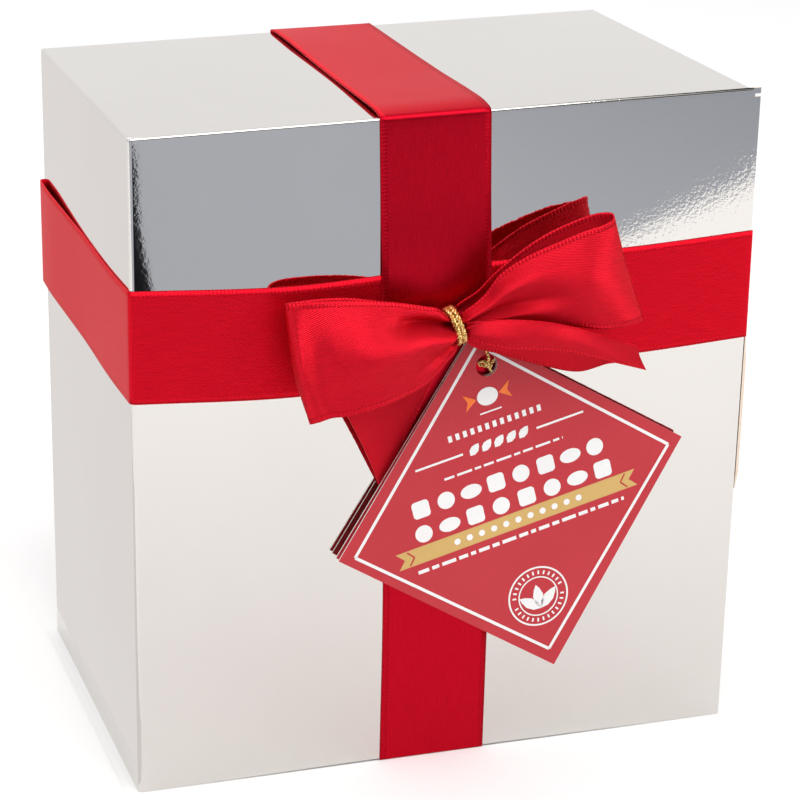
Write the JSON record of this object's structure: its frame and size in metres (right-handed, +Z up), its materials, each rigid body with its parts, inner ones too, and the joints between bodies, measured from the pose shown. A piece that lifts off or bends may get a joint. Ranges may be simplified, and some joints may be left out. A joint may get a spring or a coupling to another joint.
{
  "type": "gift box of chocolate pralines",
  "caption": "Shut mirror-silver gift carton of chocolate pralines, crossed by red satin ribbon with a bow, gold cord and a square red tag.",
  "frame": {"origin": "middle of the carton's width and depth, in the plane the box stands on", "axes": "+Z up, -Y towards the front panel with the bow, +X to the right seen from the front"},
  "size_m": [0.1449, 0.1088, 0.1533],
  "materials": {
    "mirror_board": "metallised mirror silver film on board",
    "satin_ribbon": "red single-faced satin with ribbed edges",
    "gold_cord": "twisted metallic gold thread",
    "printed_card": "matt printed card with white cut edges"
  },
  "bodies": {
    "root": {"carton": "mirror_board", "ribbon_vertical": "satin_ribbon", "ribbon_horizontal": "satin_ribbon", "bow": "satin_ribbon", "gold_cord": "gold_cord", "tag": "printed_card"}
  },
  "joints": []
}
